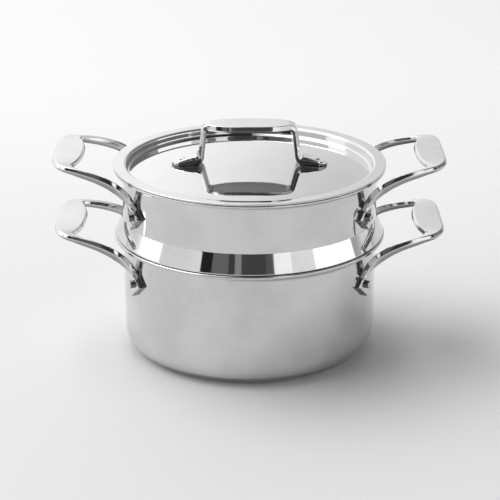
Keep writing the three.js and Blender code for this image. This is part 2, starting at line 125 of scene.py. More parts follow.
# Outlines, as rows of radius and height
def arc(centre, radius, start, end, steps):
    # centre + radius (cos a, sin a), for angles a in degrees from start to end
    angle = np.radians(np.linspace(start, end, steps + 1))
    return np.column_stack([centre[0] + radius * np.cos(angle), centre[1] + radius * np.sin(angle)])


def fillet(before, corner, after, radius, steps, most=np.inf):
    # point (i, j): step j of the arc that touches both sides of corner i, swept evenly between them; the arc
    # takes up at most that share of the shorter side
    shorter = np.minimum(*(np.linalg.norm(end - corner, axis=1, keepdims=True) for end in (before, after)))
    toBefore, toAfter = unit(before - corner), unit(after - corner)
    half = np.arccos(np.clip(np.sum(toBefore * toAfter, axis=1, keepdims=True), -1, 1)) / 2
    reach = np.minimum(radius[:, None] / np.tan(half), most * shorter)
    centre = corner + unit(toBefore + toAfter) * reach / np.cos(half)
    start, end = corner + toBefore * reach - centre, corner + toAfter * reach - centre
    turn = (math.pi - 2 * half)[:, None]
    share = np.linspace(0, 1, steps + 1)[None, :, None]
    return centre[:, None] + (np.sin((1 - share) * turn) * start[:, None]
                              + np.sin(share * turn) * end[:, None]) / np.sin(turn)


def roundedOutline(corners):
    # a line through corners of (radius, height, rounding); the first and the last are ends
    corners = np.array(corners, float)
    places, radii = corners[:, :2], corners[:, 2]
    runs = list(places[:, None])
    for i in np.flatnonzero(radii):
        near = (places[j:j + 1] for j in (i - 1, i, i + 1))
        runs[i] = fillet(*near, radii[i:i + 1], shell["filletSteps"])[0]
    return np.vstack(runs)


def distinct(outline):
    # leaves out each point that repeats the one before it
    steps = np.linalg.norm(np.diff(outline, axis=0), axis=1)
    return outline[np.append(True, steps > shell["samePoint"])]


def spaced(outline):
    # adds points along each long straight stretch, close to its ends and evenly between
    outline = distinct(outline)
    along = np.append(0, np.cumsum(np.linalg.norm(np.diff(outline, axis=0), axis=1)))
    long = np.diff(along) > 3 * shell["hold"]
    even = np.arange(0, along[-1], shell["longest"])
    even = even[long[np.clip(np.searchsorted(along, even, side="right") - 1, 0, len(long) - 1)]]
    marks = [along, along[:-1][long] + shell["hold"], along[1:][long] - shell["hold"], even]
    marks = np.unique(np.round(np.concatenate(marks), 5))
    marks = marks[np.append(True, np.diff(marks) > shell["sameMark"])]
    return np.column_stack([np.interp(marks, along, outline[:, 0]), np.interp(marks, along, outline[:, 1])])


def unitCircle(count):
    angle = np.linspace(0, 2 * math.pi, count, endpoint=False)
    return np.column_stack([np.cos(angle), np.sin(angle)])


def turned(outline, segments):
    # point (i, j) = (r_i cos a_j, r_i sin a_j, z_i): the outline's point i at the angle j round the axis
    x, y = unitCircle(segments).T
    radius, height = outline[:, :1], outline[:, 1:]
    points = np.stack([radius * x, radius * y, height + 0 * x], axis=-1)
    return points.reshape(-1, 3), gridQuads(len(outline), segments)


def turnedSolid(outline, segments):
    # an outline from the axis to the axis, with its two end points as tips
    points = turned(outline[1:-1], segments)[0]
    return closedGrid(points, segments, [[0, 0, outline[0, 1]], [0, 0, outline[-1, 1]]])


# Finishes
polish = {
    "cloudEdges": (0.36, 0.68), "cloudDetail": 5.0, "speckEdges": (0.4, 0.75), "speckDetail": 4.0,
    "speckScale": 4.5,  # specks to one cloud
    "patchiness": 0.6, "lineDetail": 4.0, "linePatchiness": 0.65,
    "breaksAround": 3.0,  # how often a spun line changes on its way round
    "grainRough": 0.5,  # share of the grain that goes into roughness
    "waveScale": 24.0,  # waves of a drawn sheet, about so many to the metre
    "waveDetail": 1.0, "wavePatchiness": 0.5,
}


def newGroup(name, inputs, outputs):
    group = bpy.data.node_groups.new(name, "ShaderNodeTree")
    for way, sockets in (("INPUT", inputs), ("OUTPUT", outputs)):
        for socket, kind in sockets:
            group.interface.new_socket(socket, in_out=way, socket_type="NodeSocket" + kind)
    return group, group.nodes.new("NodeGroupInput"), group.nodes.new("NodeGroupOutput")


def addNode(tree, kind, inputs={}, **settings):
    # a number or a colour is set on its input, and anything else is linked to it
    node = tree.nodes.new(kind)
    for name, value in settings.items():
        setattr(node, name, value)
    for socket, value in inputs.items():
        if isinstance(value, (int, float, tuple)):
            node.inputs[socket].default_value = value
        else:
            tree.links.new(value, node.inputs[socket])
    return node


def maths(tree, operation, *values):
    return addNode(tree, "ShaderNodeMath", dict(enumerate(values)), operation=operation).outputs[0]


def times(tree, first, second):
    return maths(tree, "MULTIPLY", first, second)


def between(tree, value, low, high, outLow=0.0, outHigh=1.0):
    ends = {"Value": value, "From Min": low, "From Max": high, "To Min": outLow, "To Max": outHigh}
    return addNode(tree, "ShaderNodeMapRange", ends, interpolation_type="SMOOTHSTEP").outputs["Result"]


def noise(tree, vector, scale, detail, roughness):
    form = {"Vector": vector, "Scale": scale, "Detail": detail, "Roughness": roughness}
    return addNode(tree, "ShaderNodeTexNoise", form).outputs["Fac"]


def mixColor(tree, share, first, second):
    # inputs 6 and 7 and output 2 are the colours of this node
    mixed = {"Factor": share, 6: first, 7: second}
    return addNode(tree, "ShaderNodeMix", mixed, data_type="RGBA").outputs[2]


def parted(tree, vector):
    return addNode(tree, "ShaderNodeSeparateXYZ", {0: vector}).outputs


def axisDistance(tree, x, y):
    # the root of x x + y y
    return maths(tree, "SQRT", maths(tree, "ADD", times(tree, x, x), times(tree, y, y)))


def makeHandlingGroup():
    # soft clouds of handling over a polish: they dull it a little and shade its colour
    group, given, made = newGroup(
        "handlingClouds",
        [("Vector", "Vector"), ("Scale", "Float"), ("Light", "Color"), ("Dark", "Color"),
         ("Clear", "Float"), ("Dull", "Float")],
        [("Color", "Color"), ("Roughness", "Float")])
    vector, scale, light, dark, clear, dull = given.outputs[:6]
    clouds = noise(group, vector, scale, polish["cloudDetail"], polish["patchiness"])
    clouds = between(group, clouds, *polish["cloudEdges"])
    finer = times(group, scale, polish["speckScale"])
    specks = noise(group, vector, finer, polish["speckDetail"], polish["patchiness"])
    specks = between(group, specks, *polish["speckEdges"])
    group.links.new(mixColor(group, clouds, light, dark), made.inputs["Color"])
    both = times(group, maths(group, "ADD", clouds, specks), 0.5)
    spread = maths(group, "SUBTRACT", dull, clear)
    group.links.new(maths(group, "MULTIPLY_ADD", both, spread, clear), made.inputs["Roughness"])
    return group


def makeSpunGroup():
    # fine lines round the axis, as a turned or spun sheet keeps: noise that runs far along the angle
    group, given, made = newGroup(
        "spunLines", [("Vector", "Vector"), ("Lines per metre", "Float")], [("Height", "Float")])
    lines = given.outputs["Lines per metre"]
    x, y, z = parted(group, given.outputs["Vector"])
    around = maths(group, "SINE", maths(group, "ARCTAN2", y, x))
    joined = addNode(group, "ShaderNodeCombineXYZ", {
        0: times(group, axisDistance(group, x, y), lines),
        1: times(group, around, polish["breaksAround"]),
        2: times(group, z, lines),
    })
    height = noise(group, joined.outputs[0], 1.0, polish["lineDetail"], polish["linePatchiness"])
    group.links.new(height, made.inputs["Height"])
    return group


handlingGroup = makeHandlingGroup()
spunGroup = makeSpunGroup()


def newMaterial(name):
    material = bpy.data.materials.new(name)
    material.use_nodes = True
    return material, material.node_tree, material.node_tree.nodes["Principled BSDF"]


def makeSteel(name, look):
    # polished steel; a spun or ground finish takes over where the piece's own attribute of satin finish and
    # painted shade says: rougher, with spun lines, and painted darker as shade
    material, tree, surface = newMaterial(name)
    surface.inputs["Metallic"].default_value = 1.0
    coords = addNode(tree, "ShaderNodeTexCoord").outputs["Object"]
    clouds = addNode(tree, "ShaderNodeGroup", {
        "Vector": coords, "Scale": look["cloudScale"], "Light": (*look["light"], 1),
        "Dark": (*look["dark"], 1), "Clear": look["clear"], "Dull": look["dull"],
    }, node_tree=handlingGroup)
    lines = {"Vector": coords, "Lines per metre": look["lines"]}
    spun = addNode(tree, "ShaderNodeGroup", lines, node_tree=spunGroup).outputs["Height"]
    satinAndShade = addNode(tree, "ShaderNodeAttribute", attribute_name="satinAndShade").outputs["Fac"]
    satinRough = maths(tree, "MULTIPLY_ADD", spun, look["grain"] * polish["grainRough"], look["satinAndShade"])
    rough = {"Factor": satinAndShade, 2: clouds.outputs["Roughness"], 3: satinRough}
    rough = addNode(tree, "ShaderNodeMix", rough, data_type="FLOAT").outputs[0]
    tree.links.new(rough, surface.inputs["Roughness"])
    # painted shade: the darker ground colour stands in for the shade on undersides, insides, cut ends and
    # rivet flanks; their roughness is the real ground finish
    groundAndShade = (*[look["groundAndShade"] * value for value in look["dark"]], 1)
    color = mixColor(tree, satinAndShade, clouds.outputs["Color"], groundAndShade)
    if "ply" in look:
        color = plyLine(tree, coords, color, look["ply"])
    tree.links.new(color, surface.inputs["Base Color"])
    height = noise(tree, coords, polish["waveScale"], polish["waveDetail"], polish["wavePatchiness"])
    waves = addNode(tree, "ShaderNodeBump", {"Distance": look["waveDepth"], "Height": height})
    bump = addNode(tree, "ShaderNodeBump", {
        "Normal": waves.outputs["Normal"], "Distance": look["lineDepth"], "Height": spun,
        "Strength": maths(tree, "MULTIPLY_ADD", satinAndShade, look["grain"], look["lineStrength"]),
    })
    tree.links.new(bump.outputs["Normal"], surface.inputs["Normal"])
    return material


def plyLine(tree, coords, color, ply):
    # a grey line on the cut rim, where the soft inner ply of the sheet shows between the steel ones
    x, y, z = parted(tree, coords)
    atRim = between(tree, axisDistance(tree, x, y), *ply["rim"])
    away = maths(tree, "ABSOLUTE", maths(tree, "SUBTRACT", z, ply["level"]))
    line = between(tree, away, *ply["halfWidths"], 1.0, 0.0)
    return mixColor(tree, times(tree, line, atRim), color, (*ply["tone"], 1))


# in metres: where the rim begins, the height of the line, and the half widths at which it begins to fade
# and is gone
innerPly = {
    "rim": (0.1108, 0.111), "level": 0.0966, "halfWidths": (0.00018, 0.0003), "tone": (0.46, 0.465, 0.47),
}
# ground: share of the dark tone kept where the finish is ground, a painted shade on undersides, insides and
# ends
sheetSteel = {"groundAndShade": 0.74, "grain": 0.3, "cloudScale": 20, "lines": 2600, "lineDepth": 0.00004}
castSteel = {
    "satinAndShade": 0.2, "grain": 0.04, "lines": 1200, "lineStrength": 0.0, "lineDepth": 0.00003, "waveDepth": 0,
}
steelLooks = {
    "potSteel": sheetSteel | {
        "light": (0.68, 0.682, 0.685), "dark": (0.59, 0.592, 0.596), "clear": 0.07,
        "dull": 0.13, "satinAndShade": 0.2, "lineStrength": 0.03, "waveDepth": 0.0002, "ply": innerPly},
    "insertSteel": sheetSteel | {
        "light": (0.69, 0.692, 0.695), "dark": (0.61, 0.612, 0.615), "clear": 0.035,
        "dull": 0.08, "satinAndShade": 0.18, "lineStrength": 0.02, "waveDepth": 0.0001},
    "lidSteel": sheetSteel | {
        "light": (0.69, 0.692, 0.695), "dark": (0.65, 0.652, 0.655), "cloudScale": 14,
        "clear": 0.03, "dull": 0.07, "satinAndShade": 0.16, "lines": 2800, "lineStrength": 0.015,
        "lineDepth": 0.00003, "waveDepth": 0.00005},
    # the low ground shares of handles and rivets paint shade on their undersides, cut ends and head flanks
    "handleSteel": castSteel | {
        "light": (0.69, 0.692, 0.695), "dark": (0.64, 0.642, 0.645), "cloudScale": 30,
        "clear": 0.05, "dull": 0.11, "groundAndShade": 0.5},
    "rivetSteel": castSteel | {
        "light": (0.66, 0.662, 0.665), "dark": (0.61, 0.612, 0.615), "cloudScale": 60,
        "clear": 0.06, "dull": 0.13, "groundAndShade": 0.3},
}
steel = {name: makeSteel(name, look) for name, look in steelLooks.items()}
print("finishes made:", ", ".join(steel))

# Pot
pot = {
    "height": 98.0, "sheet": 2.6, "cornerRadius": 17.0, "lipRound": 1.1, "lipUnder": 0.5,
    "satinAndShadeFrom": 2.5,  # satin finish and painted shade on the inside, and on the turn of the base above this height
    "satinAndShadeBelow": 0.5,  # and on the underside
}


def makePot():
    outer, lip = shell["wallRadius"], shell["lipRadius"]
    inner = outer - pot["sheet"]
    under = pot["height"] - pot["sheet"]
    outline = spaced(roundedOutline([
        (0, 0, 0),
        (outer, 0, pot["cornerRadius"]),
        (outer, under, shell["lipBend"]),
        (lip, under, pot["lipUnder"]),
        (lip, pot["height"], pot["lipRound"]),
        (inner, pot["height"], shell["lipBend"] + pot["sheet"]),
        (inner, pot["sheet"], pot["cornerRadius"] - pot["sheet"]),
        (0, pot["sheet"], 0),
    ]))
    points, quads, triangles = turnedSolid(outline, shell["segments"])
    radius = np.hypot(points[:, 0], points[:, 1])
    # painted shade: the inside and the underside take the darker ground colour along with their satin finish
    inside = (radius < inner + shell["satinAndShadeMargin"]) & (points[:, 2] > pot["satinAndShadeFrom"])
    beneath = points[:, 2] < pot["satinAndShadeBelow"]
    piece = putMesh("potShell", points, quads, triangles, (inside | beneath).astype(float))
    dress(piece, steel["potSteel"], "pot", "pot_body")


# Insert
insert = {
    "rim": 155.0, "sheet": 1.5, "skirtHeight": 16.0, "skirtReach": 6.0, "skirtEdge": 0.9,
    "creaseRadius": 2.5, "drumRadius": 98.5, "drumDepth": 26.0, "drumCorner": 8.0, "ledgeFillet": 2.0,
    "holeDiameter": 6.5, "ringPitch": 19.0, "rings": 4, "ringStep": 6, "holeSegments": 32,
    "holeEdge": 0.3, "holeEdgeSteps": 3,
    "mouthMargin": 0.03,  # faces with a middle this far inside a hole's mouth are left out
    "plateHold": 1.0,  # from the plate's edge to the drum's fillet
    "creaseMargin": 1.0,  # how far below the crease its satin finish and painted shade begin
}


def baseHoles():
    # one hole in the middle, and rings that each gain ringStep more
    rings = np.arange(1, insert["rings"] + 1)
    ring = np.repeat(rings, rings * insert["ringStep"])
    first = np.searchsorted(ring, ring)
    angle = 2 * math.pi * (np.arange(len(ring)) - first) / (ring * insert["ringStep"])
    reach = ring * insert["ringPitch"]
    return np.vstack([[0, 0], np.column_stack([reach * np.cos(angle), reach * np.sin(angle)])])


def piercedBase(edgeRadius, low, high):
    # a flat plate between two levels: triangles between its edge and its holes, and a rounded wall in each
    # hole, which begins and ends with a narrow flat ring so that the plate is shaded flat
    count, bevel = insert["holeSegments"], insert["holeEdge"]
    radius = insert["holeDiameter"] / 2
    holes = baseHoles()
    circle = unitCircle(count)
    edge = edgeRadius * unitCircle(shell["segments"])
    mouth = radius + bevel + shell["hold"]
    mouths = (holes[:, None, :] + mouth * circle).reshape(-1, 2)
    flat = np.vstack([edge, mouths])
    loops = [np.arange(len(edge))] + [len(edge) + i * count + np.arange(count) for i in range(len(holes))]
    sides = np.vstack([np.column_stack([loop, np.roll(loop, -1)]) for loop in loops])
    found = delaunay_2d_cdt([Vector(p) for p in flat.tolist()], sides.tolist(), [], 1, 1e-6)
    corners = np.array([v[:] for v in found[0]])
    triangles = np.array(found[2])
    middles = corners[triangles].mean(axis=1)
    clear = np.linalg.norm(middles[:, None] - holes, axis=2).min(axis=1) > mouth - insert["mouthMargin"]
    triangles = triangles[clear]
    lower = np.column_stack([corners, np.full(len(corners), low)])
    upper = np.column_stack([corners, np.full(len(corners), high)])
    turn = np.radians(np.linspace(0, 90, insert["holeEdgeSteps"] + 1))
    reach, fall = radius + bevel * (1 - np.sin(turn)), bevel * (1 - np.cos(turn))
    wallReach = np.concatenate([[mouth], reach, reach[::-1], [mouth]])
    wallLevel = np.concatenate([[high], high - fall, low + fall[::-1], [low]])
    walls = holes[:, None, None, :] + wallReach[None, :, None, None] * circle
    levels = np.broadcast_to(wallLevel[None, :, None, None], walls.shape[:3] + (1,))
    walls = np.concatenate([walls, levels], axis=-1).reshape(-1, 3)
    oneWall = gridQuads(len(wallReach), count)
    starts = 2 * len(corners) + np.arange(len(holes)) * len(wallReach) * count
    quads = (oneWall[None] + starts[:, None, None]).reshape(-1, 4)
    both = np.vstack([triangles[:, ::-1], triangles + len(corners)])
    return np.vstack([lower, upper, walls]), quads, both


def makeInsert():
    outer, lip = shell["wallRadius"], shell["lipRadius"]
    sheet, rim = insert["sheet"], insert["rim"]
    ledge = pot["height"] + shell["seatGap"]
    base = pot["height"] - insert["drumDepth"]
    drum = insert["drumRadius"]
    crease = ledge + insert["skirtHeight"]
    cone = math.atan2(insert["skirtReach"], insert["skirtHeight"] - insert["skirtEdge"])
    skirt = outer + insert["skirtHeight"] * math.tan(cone)
    fold = skirt - sheet / math.cos(cone) - sheet * math.tan(cone)
    flatEdge = drum - insert["drumCorner"] - insert["plateHold"]
    outline = spaced(roundedOutline([
        (flatEdge, base, 0),
        (drum, base, insert["drumCorner"]),
        (drum, ledge, insert["ledgeFillet"]),
        (skirt, ledge, insert["skirtEdge"]),
        (outer, crease, insert["creaseRadius"]),
        (outer, rim - sheet, shell["lipBend"]),
        (lip, rim - sheet, shell["lipEdge"]),
        (lip, rim, shell["lipEdge"]),
        (outer - sheet, rim, shell["lipBend"] + sheet),
        (outer - sheet, crease - sheet * math.tan(cone / 2), insert["creaseRadius"] + sheet),
        (fold, ledge + sheet, insert["skirtEdge"]),
        (drum - sheet, ledge + sheet, insert["ledgeFillet"] + sheet),
        (drum - sheet, base + sheet, insert["drumCorner"] - sheet),
        (flatEdge, base + sheet, 0),
    ]))
    wall, wallQuads = turned(outline, shell["segments"])
    plate, holeQuads, plateFaces = piercedBase(flatEdge, base, base + sheet)
    points = np.vstack([wall, plate])
    quads = np.vstack([wallQuads, holeQuads[:, ::-1] + len(wall)])
    radius = np.hypot(points[:, 0], points[:, 1])
    margin = shell["satinAndShadeMargin"]
    # painted shade: the inside of the drum, and of the wall above the crease, take the darker ground colour
    # along with their satin finish
    aboveCrease = points[:, 2] > crease - insert["creaseMargin"]
    inside = (radius < drum + margin) | (radius < outer - sheet + margin) & aboveCrease
    piece = putMesh("insertShell", points, quads, plateFaces + len(wall), inside.astype(float))
    dress(piece, steel["insertSteel"], "insert", "insert_body")


# Lid
lid = {
    "flangeUnder": 155.3, "sheet": 1.5, "wallInner": 100.1, "domeDrop": 0.9, "domeRadius": 740.17,
    "recessFillet": 2.0, "flangeBend": 1.0, "domeSteps": 80,
}
lid["crown"] = lid["flangeUnder"] + lid["sheet"]
lid["domeCentre"] = lid["crown"] - lid["domeDrop"] - lid["domeRadius"]


def panelTop(reach):
    return lid["domeCentre"] + np.sqrt(lid["domeRadius"] ** 2 - reach ** 2)


def makeLid():
    # a wide dome, a fillet, a wall and a flange, first below and then above; the fillet touches the dome
    # where its centre is the dome's radius plus its own away from the dome's centre
    sheet, bend, turnUp = lid["sheet"], lid["flangeBend"], lid["recessFillet"]
    steps = shell["filletSteps"]
    filletAt = lid["wallInner"] - turnUp
    edge = math.acos(filletAt / (lid["domeRadius"] + turnUp))
    filletLevel = lid["domeCentre"] + (lid["domeRadius"] + turnUp) * math.sin(edge)
    edge = math.degrees(edge)
    bendAt = (lid["wallInner"] + sheet + bend, lid["flangeUnder"] - bend)
    dome = (0, lid["domeCentre"])
    lip, rounding = shell["lipRadius"], shell["lipEdge"]
    under, over = lid["flangeUnder"], lid["crown"]
    edgeUp = roundedOutline([(bendAt[0], under, 0), (lip, under, rounding), (lip, over, 0)])
    edgeOver = roundedOutline([(lip, under, 0), (lip, over, rounding), (bendAt[0], over, 0)])
    below = np.vstack([
        arc(dome, lid["domeRadius"] - sheet, 90, edge, lid["domeSteps"]),
        arc((filletAt, filletLevel), turnUp + sheet, edge - 180, 0, steps),
        arc(bendAt, bend, 180, 90, steps),
        spaced(edgeUp[:-1]),
    ])
    above = np.vstack([
        spaced(edgeOver[1:]),
        arc(bendAt, bend + sheet, 90, 180, steps),
        arc((filletAt, filletLevel), turnUp, 0, edge - 180, steps),
        arc(dome, lid["domeRadius"], edge, 90, lid["domeSteps"]),
    ])
    below, above = distinct(below), distinct(above)
    points, quads, triangles = turnedSolid(np.vstack([below, above]), shell["segments"])
    # painted shade: the underside of dome and flange takes the darker ground colour along with its satin
    # finish
    underside = np.arange(len(points)) < (len(below) - 1) * shell["segments"]
    underside[-2] = True
    piece = putMesh("lidPanel", points, quads, triangles, underside.astype(float))
    dress(piece, steel["lidSteel"], "lid", "lid_panel")


makePot()
makeInsert()
makeLid()
print("shells turned: pot, insert and lid")


# Straps: the loop handles and the strap handle of the lid
def throughPoints(points, at):
    # a smooth curve, in cubics with end slopes from neighbours spaced by the root of their distance
    ends = np.vstack([2 * points[0] - points[1], points, 2 * points[-1] - points[-2]])
    place = at * (len(points) - 1)
    i = np.minimum(place.astype(int), len(points) - 2)
    t = (place - i)[:, None]
    p0, p1, p2, p3 = ends[i], ends[i + 1], ends[i + 2], ends[i + 3]
    gap = [np.sqrt(np.linalg.norm(b - a, axis=1, keepdims=True)) for a, b in ((p0, p1), (p1, p2), (p2, p3))]
    gap = [np.where(g < 1e-4, 1.0, g) for g in gap]
    slope1 = ((p1 - p0) / gap[0] - (p2 - p0) / (gap[0] + gap[1]) + (p2 - p1) / gap[1]) * gap[1]
    slope2 = ((p2 - p1) / gap[1] - (p3 - p1) / (gap[1] + gap[2]) + (p3 - p2) / gap[2]) * gap[1]
    return (p1 + slope1 * t + (3 * (p2 - p1) - 2 * slope1 - slope2) * t ** 2
            + (2 * (p1 - p2) + slope1 + slope2) * t ** 3)


section = {
    "steps": 4, "flats": 9, "slopes": 3,  # points in each rounding, wide side and slope
    "roundMost": 0.48,  # largest share of a side that a rounding takes up
    "satinAndShadeBlend": 0.1,  # share of the depth over which satin finish and painted shade begin below the ridge
    "endSteps": 5,
}


def ridgedSection(width, thick, form):
    # a flat top and bottom whose sides rise to a ridge, as shares across and down, a row for each section;
    # form holds the set-back of top and bottom, the ridge's depth, and the roundings of top, ridge, bottom
    topIn, lowIn, ridge, roundTop, roundRidge, roundLow = form.T
    none = 0 * width
    corners = [(topIn, none), (width - topIn, none), (width, ridge * thick),
               (width - lowIn, thick), (lowIn, thick), (none, ridge * thick)]
    corners = [np.column_stack(corner) for corner in corners]
    radii = [roundTop, roundTop, roundRidge, roundLow, roundLow, roundRidge]
    arcs = [fillet(corners[i - 1], corners[i], corners[(i + 1) % 6], radii[i], section["steps"],
                   section["roundMost"]) for i in range(6)]
    rows = []
    for i, bend in enumerate(arcs):
        rows.append(bend)
        after = arcs[(i + 1) % 6][:, :1]
        count = section["flats"] if i in (0, 3) else section["slopes"]  # top and bottom are the wide sides
        share = np.linspace(0, 1, count + 2)[1:-1]
        share = 0.5 - 0.5 * np.cos(math.pi * share)[None, :, None]
        rows.append(bend[:, -1:] + (after - bend[:, -1:]) * share)
    ring = np.concatenate(rows, axis=1)
    return ring[..., 0] / width[:, None], ring[..., 1] / thick[:, None]


def belowRidge(down, ridge):
    # the share of satin finish and painted shade, which rises from 0 to 1 just below the ridge
    return np.clip((down - ridge) / section["satinAndShadeBlend"] - 0.5, 0, 1)


def endedStrap(sections, along, endRound, groundAndShade):
    # closes both ends of a strap with rings that draw in by r (1 - cos a) while they move on by r sin a;
    # the last argument is the share of satin finish and painted shade at each point of the sections
    steps = section["endSteps"]
    turn = np.radians(np.linspace(0, 90, steps + 1))[1:]
    rows = [sections]
    for end, heading in ((sections[0], -along[0]), (sections[-1], along[-1])):
        middle = end.mean(axis=0)
        inward = unit(middle - end)
        drawn, moved = (1 - np.cos(turn))[:, None, None], np.sin(turn)[:, None, None]
        rows.append(end + endRound * (inward * drawn + heading * moved))
    rings = np.concatenate([rows[1][::-1], rows[0], rows[2]])
    tips = [rings[0].mean(axis=0), rings[-1].mean(axis=0)]
    satinAndShade = np.vstack([groundAndShade[:1].repeat(steps, axis=0), groundAndShade, groundAndShade[-1:].repeat(steps, axis=0)])
    satinAndShade = np.append(satinAndShade.ravel(), [0, 0])
    return *closedGrid(rings.reshape(-1, 3), rings.shape[1], tips), satinAndShade


loop = {
    "tabReach": 54.3, "tabDepth": 24.2, "tabTop": 12.2, "tabTilt": 1.8, "innerBow": 6.0,
    "armSpread": 45.0, "armWidth": 6.0, "thickness": 5.0,
    "armStart": (14.8, 3.2),  # back from the reach, and down from the tab's top
    "armShoulder": (0.45, 4.0),  # share of the start's stand-off, and fall
    "armElbow": (2.3, 16.8),  # stand-off, and rise over the landing
    "armLanding": 7.9,
    "footDrop": 28.9, "footArc": 53.0, "sections": 420, "endRound": 0.7,
    "cutDepth": 0.97,  # share of the thickness down to which a foot's cut end is ground, and painted darker as shade
    # tab: outer back, share of spread, fall; inner share of bow, share of spread, fall
    "tab": [(0, 0, 0, 0, 0, 0), (0.1, 0.4, 0, 0.13, 0.41, 0), (0.7, 0.644, 0, 0.4, 0.654, 0),
            (3.4, 0.844, 0, 0.77, 0.846, 0.1), (9.5, 0.996, 1.1, 1, 0.96, 0.4)],
    # arm: place on the descent, outer edge from the rivet, shares of width and both thicknesses, satin
    # finish and painted shade
    "arm": [(0, -16.8, 0.95, 1.12, 1.1, 1), (0.25, -9, 0.92, 1.38, 1.35, 1),
            (0.5, -2.6, 0.92, 1.58, 1.5, 1), (0.75, 0.2, 1.05, 1.5, 1.35, 0.5),
            (0.9, 2.1, 1.3, 1.15, 0.95, 0.2), (1, 4.6, 1.9, 0.9, 0.7, 0)],
    # foot: outer edge from the rivet, fall; inner edge, fall; shares of both thicknesses; ground end painted
    # as shade
    "foot": [(8.4, -4.1, -7.6, -3, 0.82, 0.62, 0), (11.7, -0.95, -8.2, -0.2, 0.82, 0.6, 0),
             (12.2, -0.4, -8.4, 0.6, 0.82, 0.6, 1), (11.9, 0.15, -8.6, 1.6, 0.82, 0.6, 1),
             (5.6, 5.4, -8.4, 6.6, 0.82, 0.6, 1), (-0.1, 10, -6, 10.3, 0.8, 0.62, 1)],
    # section: set-back of top and bottom, ridge's depth, roundings of top, ridge and bottom
    "tabForm": (1.5, 1.8, 0.5, 1.7, 0.6, 1.5), "armForm": (1.5, 1.6, 0.46, 0.5, 1.4, 0.8),
    "footForm": (0.15, 1.0, 0.74, 0.2, 0.25, 0.35),
}


def onWall(standOff, along, height):
    radius = shell["wallRadius"] + shell["seatGap"] + standOff
    angle = along / shell["wallRadius"]
    return np.column_stack([radius * np.cos(angle), radius * np.sin(angle), height + 0 * angle])


def halfLoop():
    # stations from the middle of the tab to the tip of one foot: outer edges, inner edges, and rows of two
    # thicknesses, satin finish and painted shade, section and ground end painted as shade; t is the place on
    # the arm's cubic descent
    tab, arm, foot = (np.array(loop[name], float) for name in ("tab", "arm", "foot"))
    wall, thick = shell["wallRadius"], loop["thickness"]
    reach, spread, top = loop["tabReach"], loop["armSpread"], loop["tabTop"]
    tabOuter = np.column_stack([wall + reach - tab[:, 0], spread * tab[:, 1], top - tab[:, 2]])
    tabInner = np.column_stack([wall + reach - loop["tabDepth"] + loop["innerBow"] * tab[:, 3],
                                (spread - loop["armWidth"]) * tab[:, 4], top - loop["tabTilt"] - tab[:, 5]])
    start = np.array([reach - loop["armStart"][0], top - loop["armStart"][1]])
    landing = np.array([0, loop["armLanding"] - loop["footDrop"]])
    shoulder = np.array([start[0] * loop["armShoulder"][0], start[1] - loop["armShoulder"][1]])
    elbow = np.array([loop["armElbow"][0], landing[1] + loop["armElbow"][1]])
    t = arm[:, :1]
    descent = ((1 - t) ** 3 * start + 3 * t * (1 - t) ** 2 * shoulder
               + 3 * t ** 2 * (1 - t) * elbow + t ** 3 * landing)
    armAlong = loop["footArc"] + arm[:, 1]
    armOuter = onWall(descent[:, 0], armAlong, descent[:, 1])
    armInner = onWall(descent[:, 0], armAlong - loop["armWidth"] * arm[:, 2], descent[:, 1])
    footOuter = onWall(0, loop["footArc"] + foot[:, 0], -loop["footDrop"] - foot[:, 1])
    footInner = onWall(0, loop["footArc"] + foot[:, 2], -loop["footDrop"] - foot[:, 3])
    thickOuter = thick * np.concatenate([np.ones(len(tab)), arm[:, 3], foot[:, 4]])
    thickInner = thick * np.concatenate([np.ones(len(tab)), arm[:, 4], foot[:, 5]])
    tabForm, armForm, footForm = (np.array(loop[name]) for name in ("tabForm", "armForm", "footForm"))
    forms = [np.tile(tabForm, (len(tab), 1)), footForm + arm[:, 5:] * (armForm - footForm),
             np.tile(footForm, (len(foot), 1))]
    groundAndShade = np.concatenate([np.ones(len(tab)), arm[:, 5], np.zeros(len(foot))])
    cutEnd = np.concatenate([np.zeros(len(tab) + len(arm)), foot[:, 6]])
    sizes = np.column_stack([thickOuter, thickInner, groundAndShade, np.vstack(forms), cutEnd])
    return np.vstack([tabOuter, armOuter, footOuter]), np.vstack([tabInner, armInner, footInner]), sizes


